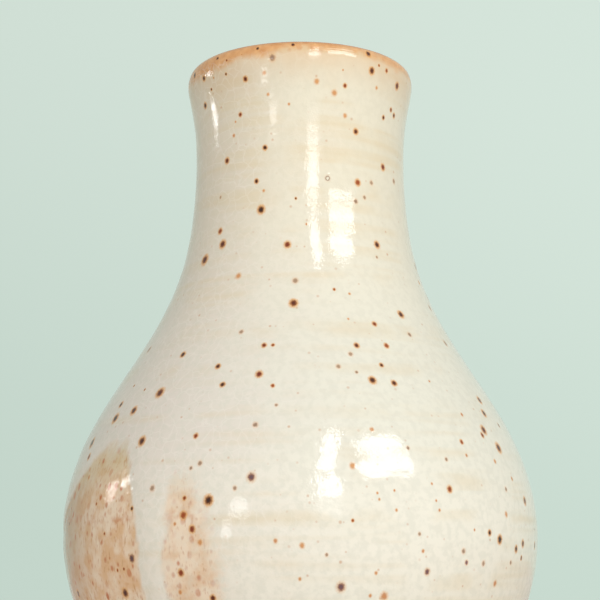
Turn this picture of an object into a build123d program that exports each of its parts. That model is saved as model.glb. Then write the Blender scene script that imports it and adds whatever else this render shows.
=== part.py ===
from build123d import *
from math import cos, radians, sin
import os

# A wheel-thrown stoneware bottle vase in a poured cream glaze, in millimetres.
# The origin is the centre of the plane that the foot stands on, and +Z is the throwing axis.
# The front, where the glaze ran apart in two tall windows, faces -Y with +X to its right.

# Clay wall: radii along the outside of the bare pot, and rises from one of these places to the next
heel_radius = 38.0
heel_height = 8.0
belly_radius = 65.0
belly_rise = 52.0
neck_radius = 29.4
neck_rise = 106.0
lip_radius = 32.4
flare_rise = 23.4
wall_thickness = 5.0
floor_thickness = 6.0
floor_bend_rise = 12.0

# Foot ring, turned on the wheel from the same clay
foot_radius = 37.0
foot_ring_width = 6.0
foot_recess_depth = 3.5
foot_recess_draft = 0.8
foot_bevel = 0.8

# Glaze coats, fired on, each from the face below it and laid with a hair's clearance
coat_clearance = 0.05
first_coat = 0.4
second_coat = 0.6
lip_coat = 0.5
liner_coat = 0.5
glaze_line_rise = 4.0
second_coat_start = 2.5
second_coat_floor_rise = 7.0
coat_feather = 1.6

# Shares of the rise and of the change in radius from one named place of the wall up to the next
lower_wall_shares = ((0.33, 0.565), (0.67, 0.905))
shoulder_shares = ((0.21, 0.14), (0.40, 0.46), (0.55, 0.725), (0.70, 0.902), (0.85, 0.98))
flare_shares = ((0.50, 0.27),)
heel_lean_share = 1.0
lip_lean_share = 0.17
wall_stations = 28

# Windows where the second coat ran apart: azimuth from the front and half width, both in degrees,
# and height as a share of the belly's. The run after each window ends at a share of that height too.
window_shares = (
    (-51.0, 14.0, 1.35, 0.42),
    (-23.0, 7.5, 1.23, 0.36),
    (7.0, 6.5, 0.58, 0.40),
    (34.0, 8.0, 0.64, 0.34),
    (63.0, 8.5, 0.55, 0.44),
    (93.0, 9.0, 0.83, 0.38),
    (123.0, 8.0, 0.61, 0.33),
    (153.0, 10.0, 1.04, 0.45),
    (186.0, 8.0, 0.66, 0.37),
    (217.0, 9.0, 0.87, 0.41),
    (247.0, 8.5, 0.60, 0.35),
    (276.0, 7.0, 0.92, 0.43),
)
window_foot_share = 0.72
run_tip_share = 0.85
run_reach_share = 1.25
cut_overrun = 2.0
search_steps = 50
full_turn = 360.0

# Heights above the foot's plane
belly_height = heel_height + belly_rise
neck_height = belly_height + neck_rise
lip_height = neck_height + flare_rise
glaze_line_height = heel_height + glaze_line_rise
second_coat_floor = heel_height + second_coat_floor_rise
floor_top = foot_recess_depth + floor_thickness


def between(low, high, shares):
    """Places on the wall between two named ones, as (radius, height)."""
    return [
        (low[0] + radius_share * (high[0] - low[0]), low[1] + rise_share * (high[1] - low[1]))
        for rise_share, radius_share in shares
    ]


def clay_line():
    """Outside of the bare clay wall from the heel up to the lip, as radius and height."""
    heel = (heel_radius, heel_height)
    belly = (belly_radius, belly_height)
    neck = (neck_radius, neck_height)
    lip = (lip_radius, lip_height)
    places = [heel, *between(heel, belly, lower_wall_shares)]
    places += [belly, *between(belly, neck, shoulder_shares)]
    places += [neck, *between(neck, lip, flare_shares), lip]
    return Spline(*places, tangents=[(heel_lean_share, 1), (lip_lean_share, 1)])


def parallel_line(line, distance):
    """A line at an even distance outside (or, if negative, inside) another wall line."""
    places = []
    for station in range(wall_stations + 1):
        along = station / wall_stations
        lean = line % along
        places.append(line @ along + Vector(lean.Y, -lean.X) * distance)
    return Spline(*places, tangents=[line % 0, line % 1])


def share_at(line, height):
    """Where a wall line passes a height, as a share of its length."""
    low, high = 0.0, 1.0
    for _ in range(search_steps):
        middle = (low + high) / 2
        if (line @ middle).Y < height:
            low = middle
        else:
            high = middle
    return low


def stretch(line, low_height, high_height=None):
    """The part of a wall line between two heights, or from a height up to the lip."""
    end = 1.0 if high_height is None else share_at(line, high_height)
    return line.trim(share_at(line, low_height), end)


def floor_line(wall, floor_height):
    """Curve in which the inside of the wall turns into the floor, out to the axis."""
    return Spline(wall @ 0, (0, floor_height), tangents=[-(wall % 0), (-1, 0)])


def lip_arc(outside, inside, rise):
    """Round over the top of the lip, from one wall line's end across to another's."""
    crest = (clay_outside @ 1 + clay_inside @ 1) / 2 + (clay_outside % 1) * rise
    return ThreePointArc(outside @ 1, crest, inside @ 1)


def turned(*lines):
    """Solid of revolution about the throwing axis of the face inside closed lines."""
    return revolve(Plane.XZ * make_face(list(lines)), axis=Axis.Z, revolution_arc=full_turn)


def inside_lines(depth):
    """Wall and floor of the hollow at a depth below the clay's inner face."""
    wall = stretch(parallel_line(clay_outside, -wall_thickness - depth), floor_top + depth + floor_bend_rise)
    return wall, floor_line(wall, floor_top + depth)


clay_outside = clay_line()
clay_inside = parallel_line(clay_outside, -wall_thickness)
first_back = parallel_line(clay_outside, coat_clearance)
first_outside = parallel_line(clay_outside, first_coat)
second_back = parallel_line(clay_outside, first_coat + coat_clearance)
second_outside = parallel_line(clay_outside, first_coat + second_coat)
liner_back = parallel_line(clay_outside, -wall_thickness - coat_clearance)
liner_inside = parallel_line(clay_outside, -wall_thickness - liner_coat)


def clay_body():
    """The thrown pot: wall, rounded lip, floor and the foot ring turned under it."""
    ring_inside = foot_radius - foot_ring_width
    foot = Polyline(
        clay_outside @ 0,
        (foot_radius, foot_bevel),
        (foot_radius - foot_bevel, 0),
        (ring_inside, 0),
        (ring_inside - foot_recess_draft, foot_recess_depth),
        (0, foot_recess_depth),
        (0, floor_top),
    )
    lip = lip_arc(clay_outside, clay_inside, wall_thickness / 2)
    return turned(clay_outside, lip, *inside_lines(0), *foot.edges())


def first_glaze():
    """Thin first coat, from a straight line above the bare foot up to the lip."""
    back = stretch(first_back, glaze_line_height)
    face = stretch(first_outside, glaze_line_height)
    return turned(back, face, Line(back @ 0, face @ 0), Line(back @ 1, face @ 1))


def lip_glaze():
    """Glaze drawn thin over the round lip, closing on the outer coat and on the liner."""
    under = lip_arc(first_back, liner_back, wall_thickness / 2 + coat_clearance)
    over = lip_arc(first_outside, liner_inside, wall_thickness / 2 + lip_coat)
    return turned(under, over, Line(under @ 0, over @ 0), Line(under @ 1, over @ 1))


def liner_glaze():
    """Coat swilled round the inside, so that the vase holds water."""
    back_wall, back_floor = inside_lines(coat_clearance)
    face_wall, face_floor = inside_lines(liner_coat)
    seat = Line(back_wall @ 1, face_wall @ 1)
    middle = Line(back_floor @ 1, face_floor @ 1)
    return turned(back_wall, back_floor, middle, face_floor, face_wall, seat)


def facing(azimuth):
    """Upright plane through the axis that looks out at an azimuth from the front."""
    turn = radians(azimuth)
    return Plane(origin=(0, 0, 0), x_dir=(cos(turn), sin(turn), 0), z_dir=(sin(turn), -cos(turn), 0))


def cut_outwards(azimuth, *lines):
    """Prism from the axis out past the belly, with an outline drawn as seen from outside."""
    reach = belly_radius + first_coat + second_coat + cut_overrun
    return extrude(facing(azimuth) * make_face(list(lines)), amount=reach)


def window_cut(azimuth, half_width, top_height):
    """Arched opening in the second coat, narrower at its foot as the pot is."""
    side = belly_radius * sin(radians(half_width))
    foot = side * window_foot_share
    spring = top_height - side
    arch = ThreePointArc((-side, spring), (0, top_height), (side, spring))
    sill = Polyline((side, spring), (foot, -cut_overrun), (-foot, -cut_overrun), (-side, spring))
    return cut_outwards(azimuth, arch, *sill.edges())


def run_tip_cut(azimuth, half_width, tip_height):
    """What is missing below a run of glaze, hollowed to leave the run a round tip."""
    radius = (first_outside @ share_at(first_outside, tip_height)).X
    side = radius * sin(radians(half_width))
    reach = side * run_reach_share
    spring = tip_height + side * run_tip_share
    tip = ThreePointArc((-reach, spring), (0, tip_height), (reach, spring))
    ends = Polyline((reach, spring), (reach, -cut_overrun), (-reach, -cut_overrun), (-reach, spring))
    return cut_outwards(azimuth, tip, *ends.edges())


def white_glaze():
    """Thicker second coat, poured over the first, which ran down the belly in tongues."""
    start = lip_height - second_coat_start
    unbroken = belly_height * max(top_share for _, _, top_share, _ in window_shares) + cut_overrun
    foot_back = stretch(second_back, second_coat_floor, unbroken)
    foot_face = stretch(second_outside, second_coat_floor + coat_feather, unbroken)
    top_back = stretch(second_back, unbroken, start)
    top_face = stretch(second_outside, unbroken, start - coat_feather)
    lower_edge = Line(foot_back @ 0, foot_face @ 0)
    upper_edge = Line(top_back @ 1, top_face @ 1)
    coat = turned(foot_back, top_back, upper_edge, top_face, foot_face, lower_edge)
    cuts = []
    for place, window in enumerate(window_shares):
        azimuth, half_width, top_share, tip_share = window
        following = window_shares[(place + 1) % len(window_shares)]
        run_start = azimuth + half_width
        run_end = following[0] - following[1]
        if run_end < run_start:
            run_end += full_turn
        cuts.append(window_cut(azimuth, half_width, top_share * belly_height))
        middle = (run_start + run_end) / 2
        cuts.append(run_tip_cut(middle, (run_end - run_start) / 2, tip_share * belly_height))
    return coat - cuts


os.makedirs("parts", exist_ok=True)
for piece in (clay_body, first_glaze, white_glaze, lip_glaze, liner_glaze):
    export_step(piece(), f"parts/{piece.__name__}.step")

mouth = 2 * (liner_inside @ 1).X
print(f"lip rounding starts at {lip_height:.1f}, mouth opens {mouth:.1f} across")
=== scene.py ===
import math

import bmesh
import bpy
import numpy as np
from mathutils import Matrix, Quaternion, Vector, noise
from mathutils.bvhtree import BVHTree


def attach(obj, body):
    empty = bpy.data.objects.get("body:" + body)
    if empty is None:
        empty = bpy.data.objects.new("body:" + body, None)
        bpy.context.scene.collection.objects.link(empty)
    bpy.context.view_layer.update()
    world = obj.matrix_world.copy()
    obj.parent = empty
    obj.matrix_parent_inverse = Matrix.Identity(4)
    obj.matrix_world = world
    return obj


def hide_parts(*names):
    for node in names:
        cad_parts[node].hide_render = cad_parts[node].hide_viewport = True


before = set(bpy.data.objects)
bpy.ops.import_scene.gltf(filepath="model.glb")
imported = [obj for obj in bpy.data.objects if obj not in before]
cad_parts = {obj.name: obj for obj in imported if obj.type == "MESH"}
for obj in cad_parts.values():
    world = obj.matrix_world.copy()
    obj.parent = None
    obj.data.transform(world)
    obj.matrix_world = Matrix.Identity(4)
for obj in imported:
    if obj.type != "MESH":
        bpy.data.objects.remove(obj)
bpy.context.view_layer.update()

# Clay body: the pot itself, thrown on the wheel from one lump of iron-speckled stoneware.
# The lip was rounded with a wet leather and the foot ring turned with a loop tool, so the bare
# foot shows fine turned grooves, coarse grit and a toasted bloom where the glaze stops.
heel_radius = 0.038
heel_height = 0.008
belly_radius = 0.065
belly_height = 0.060
neck_radius = 0.0294
neck_height = 0.166
lip_radius = 0.0324
lip_height = 0.1894
wall_thickness = 0.005
floor_top = 0.0095
floor_bend_rise = 0.012
foot_radius = 0.037
foot_ring_width = 0.006
foot_recess_depth = 0.0035
foot_rounding = 0.0009
lower_wall_shares = ((0.33, 0.565), (0.67, 0.905))
shoulder_shares = ((0.21, 0.14), (0.40, 0.46), (0.55, 0.725), (0.70, 0.902), (0.85, 0.98))
flare_shares = ((0.50, 0.27),)
heel_lean = (1.0, 1.0)
lip_lean = (0.17, 1.0)
row_spacing = 0.00135
turn_segments = 256
turn_radius = 0.01
ring_pitch = 0.0095
ring_depth = 0.00004
ring_patches_per_metre = 45.0
seam_gap = 1e-6
mm_per_metre = 1000.0
ease = {"interpolation_type": "SMOOTHSTEP"}
blend = {"data_type": "RGBA"}


def between(low, high, shares):
    """Places on the wall between two named ones, as radius and height."""
    return [
        (low[0] + radius_share * (high[0] - low[0]), low[1] + rise_share * (high[1] - low[1]))
        for rise_share, radius_share in shares
    ]


def smooth_line(places, first_lean, last_lean, spacing=row_spacing, fine_steps=200):
    """Evenly spaced points on the smooth line through places, with its lean given at both ends."""
    places = np.array(places, float)
    steps = np.diff(places, axis=0)
    gaps = np.linalg.norm(steps, axis=1)
    system = np.eye(len(places))
    wanted = np.zeros_like(places)
    wanted[0] = np.array(first_lean) / np.linalg.norm(first_lean)
    wanted[-1] = np.array(last_lean) / np.linalg.norm(last_lean)
    for place in range(1, len(places) - 1):
        before, after = gaps[place - 1], gaps[place]
        system[place, place - 1 : place + 2] = after, 2 * (before + after), before
        wanted[place] = 3 * (steps[place - 1] * after / before + steps[place] * before / after)
    leans = np.linalg.solve(system, wanted)
    share = np.linspace(0, 1, fine_steps)[:, None]
    rise = share**2 * (3 - 2 * share)
    leave = share * (1 - share) ** 2
    arrive = share**2 * (share - 1)
    spans = [
        places[i] + rise * steps[i] + gaps[i] * (leave * leans[i] + arrive * leans[i + 1])
        for i in range(len(steps))
    ]
    fine = np.concatenate(spans)
    along = np.concatenate([[0], np.cumsum(np.linalg.norm(np.diff(fine, axis=0), axis=1))])
    evenly = np.linspace(0, along[-1], int(round(along[-1] / spacing)) + 1)
    return np.column_stack([np.interp(evenly, along, fine[:, axis]) for axis in (0, 1)])


def parallel_line(line, distance):
    """The same line at an even distance outside it, or inside it if negative."""
    leans = np.gradient(line, axis=0)
    leans /= np.linalg.norm(leans, axis=1)[:, None]
    return line + distance * np.column_stack([leans[:, 1], -leans[:, 0]])


def above(line, height):
    """The part of a wall line from a height upwards."""
    start = (np.interp(height, line[:, 1], line[:, 0]), height)
    return np.vstack([start, line[line[:, 1] > height]])


def over_lip(outside, inside, rise, spacing=row_spacing / 2):
    """Round over the lip from one wall line's top across to another's."""
    middle = (outside[-1] + inside[-1]) / 2
    side = (outside[-1] - inside[-1]) / 2
    lean = np.array(lip_lean) / np.linalg.norm(lip_lean)
    turn = np.linspace(0, math.pi, int(round(math.pi * rise / spacing)))[1:-1]
    return middle + np.outer(np.cos(turn), side) + np.outer(np.sin(turn), lean * rise)


def rounded(corners, radius, steps=5):
    """An outline with each of its inner corners rounded off."""
    corners = [np.array(corner, float) for corner in corners]
    points = [corners[0]]
    for before, corner, after in zip(corners, corners[1:], corners[2:]):
        start = corner + (before - corner) * radius / np.linalg.norm(before - corner)
        end = corner + (after - corner) * radius / np.linalg.norm(after - corner)
        for share in np.linspace(0, 1, steps):
            points.append((1 - share) ** 2 * start + 2 * share * (1 - share) * corner + share**2 * end)
    return np.array([*points, corners[-1]])


def add_node(tree, kind, inputs=(), out=None, **settings):
    """Adds a node with its settings, links or sets its inputs, and gives the named or first output."""
    node = tree.nodes.new(kind)
    for setting, value in settings.items():
        setattr(node, setting, value)
    for place, value in dict(inputs).items():
        named = [socket for socket in node.inputs if socket.enabled and socket.name == place]
        socket = named[0] if named else node.inputs[place]
        if isinstance(value, bpy.types.NodeSocket):
            tree.links.new(value, socket)
        else:
            socket.default_value = value
    shown = [socket for socket in node.outputs if socket.enabled and out in (None, socket.name)]
    return shown[0] if shown else node


def making_tree(name, inputs):
    """An empty Geometry Nodes tree that makes a piece, and what its named inputs give."""
    tree = bpy.data.node_groups.new(name, "GeometryNodeTree")
    for socket, kind in inputs.items():
        tree.interface.new_socket(socket, in_out="INPUT", socket_type="NodeSocket" + kind)
    tree.interface.new_socket("Piece", in_out="OUTPUT", socket_type="NodeSocketGeometry")
    return tree, add_node(tree, "NodeGroupInput").node.outputs


def wheel_tree():
    """Geometry Nodes that turn an outline round the wheel's axis and leave soft throwing rings."""
    inputs = {
        "Outline": "Geometry",
        "Turn Segments": "Int",
        "Turn Radius": "Float",
        "Ring Pitch": "Float",
        "Ring Depth": "Float",
        "Material": "Material",
    }
    tree, given = making_tree("thrown_on_the_wheel", inputs)
    circle = {"Resolution": given["Turn Segments"], "Radius": given["Turn Radius"]}
    turn = add_node(tree, "GeometryNodeCurvePrimitiveCircle", circle)
    turned = add_node(tree, "GeometryNodeCurveToMesh", {"Curve": turn, "Profile Curve": given["Outline"]})
    closed = add_node(tree, "GeometryNodeMergeByDistance", {"Geometry": turned, "Distance": seam_gap})
    place = add_node(tree, "GeometryNodeInputPosition")
    axes = add_node(tree, "ShaderNodeSeparateXYZ", {"Vector": place}).node.outputs
    climb = add_node(tree, "ShaderNodeMath", {0: axes["Z"], 1: given["Ring Pitch"]}, operation="DIVIDE")
    azimuth = add_node(tree, "ShaderNodeMath", {0: axes["Y"], 1: axes["X"]}, operation="ARCTAN2")
    helix = {0: climb, 1: math.tau, 2: azimuth}
    helix = add_node(tree, "ShaderNodeMath", helix, operation="MULTIPLY_ADD")
    wave = add_node(tree, "ShaderNodeMath", {0: helix}, operation="SINE")
    hollow = add_node(tree, "ShaderNodeMath", {0: wave, 1: 1.0}, operation="SUBTRACT")
    pressure = {"Vector": place, "Scale": ring_patches_per_metre, "Detail": 1.0}
    pressure = add_node(tree, "ShaderNodeTexNoise", pressure)
    depth = add_node(tree, "ShaderNodeMath", {0: pressure, 1: given["Ring Depth"]}, operation="MULTIPLY")
    push = add_node(tree, "ShaderNodeMath", {0: hollow, 1: depth}, operation="MULTIPLY")
    level = add_node(tree, "ShaderNodeVectorMath", {0: place, 1: (1, 1, 0)}, operation="MULTIPLY")
    outward = add_node(tree, "ShaderNodeVectorMath", {0: level}, operation="NORMALIZE")
    offset = add_node(tree, "ShaderNodeVectorMath", {0: outward, "Scale": push}, operation="SCALE")
    ringed = add_node(tree, "GeometryNodeSetPosition", {"Geometry": closed, "Offset": offset})
    smooth = add_node(tree, "GeometryNodeSetShadeSmooth", {"Geometry": ringed})
    real = add_node(tree, "GeometryNodeRealizeInstances", {"Geometry": smooth})
    finish = {"Geometry": real, "Material": given["Material"]}
    add_node(tree, "NodeGroupOutput", {"Piece": add_node(tree, "GeometryNodeSetMaterial", finish)})
    return tree


def placed(name, data):
    """A new object of some data, put in the scene."""
    thing = bpy.data.objects.new(name, data)
    bpy.context.scene.collection.objects.link(thing)
    return thing


def made_plain(name, source, tree, sizes):
    """A plain mesh object of what a node tree makes from a source object, which it takes the place of."""
    nodes = source.modifiers.new("making", "NODES")
    nodes.node_group = tree
    for socket in tree.interface.items_tree:
        if socket.name in sizes:
            nodes[socket.identifier] = sizes[socket.name]
    evaluated = source.evaluated_get(bpy.context.evaluated_depsgraph_get())
    mesh = bpy.data.meshes.new_from_object(evaluated)
    mesh.name = name
    bpy.data.objects.remove(source)
    facing = bmesh.new()
    facing.from_mesh(mesh)
    bmesh.ops.recalc_face_normals(facing, faces=facing.faces)
    facing.to_mesh(mesh)
    facing.free()
    return placed(name, mesh)


throwing = wheel_tree()


def thrown(name, outline, material, loop, segments=turn_segments):
    """A piece turned on the wheel from an outline of radius and height; a loop joins its two ends."""
    curve = bpy.data.curves.new(name + "_outline", "CURVE")
    curve.dimensions = "3D"
    spline = curve.splines.new("POLY")
    spline.points.add(len(outline) - 1)
    for point, (radius, height) in zip(spline.points, outline):
        point.co = (radius - turn_radius, -height, 0, 1)
    spline.use_cyclic_u = loop
    sizes = {
        "Turn Segments": segments,
        "Turn Radius": turn_radius,
        "Ring Pitch": ring_pitch,
        "Ring Depth": ring_depth,
        "Material": material,
    }
    return made_plain(name, placed(name + "_outline", curve), throwing, sizes)


def paint(code):
    """Linear colour from an sRGB hex value."""
    channels = [int(code[i : i + 2], 16) / 255 for i in (1, 3, 5)]
    linear = [c / 12.92 if c <= 0.04045 else ((c + 0.055) / 1.055) ** 2.4 for c in channels]
    return (*linear, 1.0)


def blank_material(name):
    """A new material, with its node tree and its main shader."""
    material = bpy.data.materials.new(name)
    material.use_nodes = True
    return material, material.node_tree, material.node_tree.nodes["Principled BSDF"]


def place_in_mm(tree):
    """The place on a piece in millimetres, so that patterns get their real size."""
    place = add_node(tree, "ShaderNodeTexCoord", out="Object")
    return add_node(tree, "ShaderNodeVectorMath", {0: place, "Scale": mm_per_metre}, operation="SCALE")


def toasted_stoneware():
    """Bare stoneware, fired buff with a toasted bloom by the glaze line: matt, gritty, iron-flecked."""
    clay_hexes = ("#B2957A", "#D2B898")
    bloom_hex = "#A9683C"
    fleck_hex = "#4A2C1B"
    cloud_mm = 9.0
    grit_mm = 0.7
    grit_depth_mm = 0.11
    fleck_mm = 1.5
    fleck_edge = (0.26, 0.14)
    groove_mm = 1.3
    groove_depth_mm = 0.03
    bloom_mm = (7.0, 15.0)
    bloom_wander_mm = 7.0
    material, tree, shader = blank_material("toasted_stoneware")
    mm = place_in_mm(tree)
    axes = add_node(tree, "ShaderNodeSeparateXYZ", {0: mm}).node.outputs
    cloud = add_node(tree, "ShaderNodeTexNoise", {"Vector": mm, "Scale": 1 / cloud_mm, "Detail": 3.0})
    grit = add_node(tree, "ShaderNodeTexNoise", {"Vector": mm, "Scale": 1 / grit_mm, "Detail": 3.0})
    bloom = {0: cloud, 1: bloom_wander_mm, 2: axes["Z"]}
    bloom = add_node(tree, "ShaderNodeMath", bloom, operation="MULTIPLY_ADD")
    bloom = {"Value": bloom, "From Min": bloom_mm[0], "From Max": bloom_mm[1]}
    bloom = add_node(tree, "ShaderNodeMapRange", bloom, **ease)
    fleck = add_node(tree, "ShaderNodeTexVoronoi", {"Vector": mm, "Scale": 1 / fleck_mm}, out="Distance")
    fleck = {"Value": fleck, "From Min": fleck_edge[0], "From Max": fleck_edge[1]}
    fleck = add_node(tree, "ShaderNodeMapRange", fleck, **ease)
    colour = paint(clay_hexes[0])
    for share, tint_hex in ((grit, clay_hexes[1]), (bloom, bloom_hex), (fleck, fleck_hex)):
        tint = {"Factor": share, "A": colour, "B": paint(tint_hex)}
        colour = add_node(tree, "ShaderNodeMix", tint, **blend)
    across = add_node(tree, "ShaderNodeVectorMath", {0: mm, 1: (1, 1, 0)}, operation="MULTIPLY")
    radius = add_node(tree, "ShaderNodeVectorMath", {0: across}, operation="LENGTH")
    tool = add_node(tree, "ShaderNodeMath", {0: radius, 1: axes["Z"]}, operation="ADD")
    tool = add_node(tree, "ShaderNodeMath", {0: tool, 1: math.tau / groove_mm}, operation="MULTIPLY")
    groove = add_node(tree, "ShaderNodeMath", {0: tool}, operation="SINE")
    groove = add_node(tree, "ShaderNodeMath", {0: groove, 1: groove_depth_mm}, operation="MULTIPLY")
    relief = {0: grit, 1: grit_depth_mm, 2: groove}
    relief = add_node(tree, "ShaderNodeMath", relief, operation="MULTIPLY_ADD")
    bump = {"Height": relief, "Strength": 1.0, "Distance": 1 / mm_per_metre}
    bump = add_node(tree, "ShaderNodeBump", bump)
    tree.links.new(colour, shader.inputs["Base Color"])
    tree.links.new(bump, shader.inputs["Normal"])
    shader.inputs["Roughness"].default_value = 0.78
    shader.inputs["IOR"].default_value = 1.5
    return material


heel = (heel_radius, heel_height)
belly = (belly_radius, belly_height)
neck = (neck_radius, neck_height)
lip = (lip_radius, lip_height)
wall_places = [heel, *between(heel, belly, lower_wall_shares)]
wall_places += [belly, *between(belly, neck, shoulder_shares)]
wall_places += [neck, *between(neck, lip, flare_shares), lip]
clay_outside = smooth_line(wall_places, heel_lean, lip_lean)


def hollow_line(depth):
    """Outline of the hollow at a depth below the clay's inner face, from the lip down to the axis."""
    wall = parallel_line(clay_outside, -wall_thickness - depth)
    wall = above(wall, floor_top + depth + floor_bend_rise)
    floor = smooth_line([wall[0], (0, floor_top + depth)], wall[0] - wall[1], (-1, 0))
    return np.vstack([wall[::-1], floor[1:]])


foot_ring_inside = foot_radius - foot_ring_width
foot_corners = [
    (0, foot_recess_depth),
    (foot_ring_inside, foot_recess_depth),
    (foot_ring_inside, 0),
    (foot_radius, 0),
    heel,
]
clay_hollow = hollow_line(0)
clay_lip = over_lip(clay_outside, clay_hollow[::-1], wall_thickness / 2)
clay_foot = rounded(foot_corners, foot_rounding)
clay_outline = np.vstack([clay_foot, clay_outside[1:], clay_lip, clay_hollow])
clay_body = thrown("clay_body", clay_outline, toasted_stoneware(), loop=False)
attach(clay_body, "root")
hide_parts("clay_body")

# Liner glaze: the coat inside, so that the vase holds water. It is the same cream glaze, poured in,
# swilled round and poured out again, and it meets the lip's glaze just inside the mouth.
liner_coat = 0.0005
cream_hex = "#E8E6D8"
# Painted light: a lighter cream that brightens the lower belly
cream_belly_painted_light_hex = "#F3EDE0"
# Partly the cream's own greyer tone, partly painted shade on the left side
cream_grey_and_shade_hex = "#E4DCD2"
cream_cloud_hex = "#DAD8CA"
cream_warm_hex = "#DFCFAF"
buff_hex = "#EED9C1"
buff_deep_hex = "#E1B990"
# Painted shade: a darker buff for the far left of the belly
buff_painted_shade_hex = "#B98D60"
buff_olive_hex = "#CBBB8E"
dash_hex = "#C08048"
rust_hex = "#C26C36"
toast_hex = "#EEBB82"
blush_hex = "#D9B488"
toast_deep_hex = "#BE7A42"
craze_hex = "#F6F0E8"
speck_hex = "#C68C56"


def glaze_rules():
    """How the fired glaze looks from where it lies thin over the iron in the clay to where it is thick."""
    mottle_mm = 17.0
    blotch_mm = 5.0
    edge_mm = 1.8
    peel_mm = 1.6
    grain_mm = 0.42
    band_mm = (60.0, 60.0, 2.8)
    dash_mm = (0.65, 0.65, 1.9)
    fleck_mm = (2.0, 2.0, 2.7)
    fleck_reach = 0.42
    fleck_ragged = 0.3
    speck_mm = 2.4
    speck_reach = 0.14
    craze_mm = 3.3
    craze_wander_mm = (2.5, 2.5, 2.5)
    ring_mm = 4.6
    left_wander_mm = 60.0
    rust_ring_mm = 62.5
    rust_wander_mm = 5.0
    faint_wander_mm = 2.0
    rust_ring_share = 0.6
    blush_mm = (176.0, 194.0)
    blush_wander_mm = 12.0
    toast_mm = (187.4, 190.4)
    toast_wander_mm = 5.0
    toast_lobe_mm = 1.7
    toast_lobes = 2.0
    toast_lobes_turn = math.radians(-44.0)
    toast_break = 0.9
    edge_break = 0.45
    blotch_break = 0.35
    peel_depth_mm = 0.035
    wave_depth_mm = 0.008
    tree = bpy.data.node_groups.new("glaze_over_iron_clay", "ShaderNodeTree")
    tree.interface.new_socket("Cover", in_out="INPUT", socket_type="NodeSocketFloat")
    for name, kind in (("Colour", "Color"), ("Roughness", "Float"), ("Relief", "Float")):
        tree.interface.new_socket(name, in_out="OUTPUT", socket_type="NodeSocket" + kind)
    cover = add_node(tree, "NodeGroupInput", out="Cover")
    mm = place_in_mm(tree)
    axes = add_node(tree, "ShaderNodeSeparateXYZ", {0: mm}).node.outputs
    azimuth = add_node(tree, "ShaderNodeMath", {0: axes["Y"], 1: axes["X"]}, operation="ARCTAN2")
    patterns = ((mottle_mm, 3.0), (blotch_mm, 3.0), (edge_mm, 2.0), (peel_mm, 1.0), (grain_mm, 0.0))
    mottle, blotch, edge, peel, grain = [
        add_node(tree, "ShaderNodeTexNoise", {"Vector": mm, "Scale": 1 / size_mm, "Detail": detail})
        for size_mm, detail in patterns
    ]
    band = add_node(tree, "ShaderNodeVectorMath", {0: mm, 1: band_mm}, operation="DIVIDE")
    band = add_node(tree, "ShaderNodeTexNoise", {"Vector": band, "Scale": 1.0, "Detail": 1.5})
    dash = add_node(tree, "ShaderNodeVectorMath", {0: mm, 1: dash_mm}, operation="DIVIDE")
    dash = add_node(tree, "ShaderNodeTexNoise", {"Vector": dash, "Scale": 1.0, "Detail": 1.0})

    # How far to the left, and how thick the coat is where its edge breaks up
    left = add_node(tree, "ShaderNodeMath", {0: mottle, 1: left_wander_mm}, operation="MULTIPLY")
    left = add_node(tree, "ShaderNodeMath", {0: left, 1: axes["X"]}, operation="SUBTRACT")
    thick = cover
    for pattern, share in ((edge, edge_break), (blotch, blotch_break)):
        thick = {0: pattern, 1: share, 2: thick}
        thick = add_node(tree, "ShaderNodeMath", thick, operation="MULTIPLY_ADD")

    # Rusty flecks of the thin glaze, and fine iron specks, in cells with their own luck
    cell = add_node(tree, "ShaderNodeVectorMath", {0: mm, 1: fleck_mm}, operation="DIVIDE")
    cell = add_node(tree, "ShaderNodeTexVoronoi", {"Vector": cell, "Scale": 1.0}).node.outputs
    luck = add_node(tree, "ShaderNodeSeparateColor", {"Color": cell["Color"]}).node.outputs
    fleck = add_node(tree, "ShaderNodeMath", {0: luck["Red"], 1: fleck_reach}, operation="MULTIPLY")
    fleck = add_node(tree, "ShaderNodeMath", {0: fleck, 1: cell["Distance"]}, operation="SUBTRACT")
    fleck = {0: edge, 1: fleck_ragged, 2: fleck}
    fleck = add_node(tree, "ShaderNodeMath", fleck, operation="MULTIPLY_ADD")
    grit = add_node(tree, "ShaderNodeTexVoronoi", {"Vector": mm, "Scale": 1 / speck_mm}).node.outputs
    chance = add_node(tree, "ShaderNodeSeparateColor", {"Color": grit["Color"]}).node.outputs
    speck = add_node(tree, "ShaderNodeMath", {0: chance["Red"], 1: speck_reach}, operation="MULTIPLY")
    speck = add_node(tree, "ShaderNodeMath", {0: speck, 1: grit["Distance"]}, operation="SUBTRACT")
    strong = {"Value": chance["Green"], "From Min": 0.25, "From Max": 1.0, "To Max": 0.6}
    strong = add_node(tree, "ShaderNodeMapRange", strong)

    # How far above or below a broken rust-stained ring, in the thin glaze and faintly in the thick
    from_ring = []
    for pattern, wander_mm in ((edge, rust_wander_mm), (blotch, faint_wander_mm)):
        level = {0: pattern, 1: wander_mm, 2: axes["Z"]}
        level = add_node(tree, "ShaderNodeMath", level, operation="MULTIPLY_ADD")
        level = {0: level, 1: rust_ring_mm + wander_mm / 2}
        level = add_node(tree, "ShaderNodeMath", level, operation="SUBTRACT")
        from_ring.append(add_node(tree, "ShaderNodeMath", {0: level}, operation="ABSOLUTE"))

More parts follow.
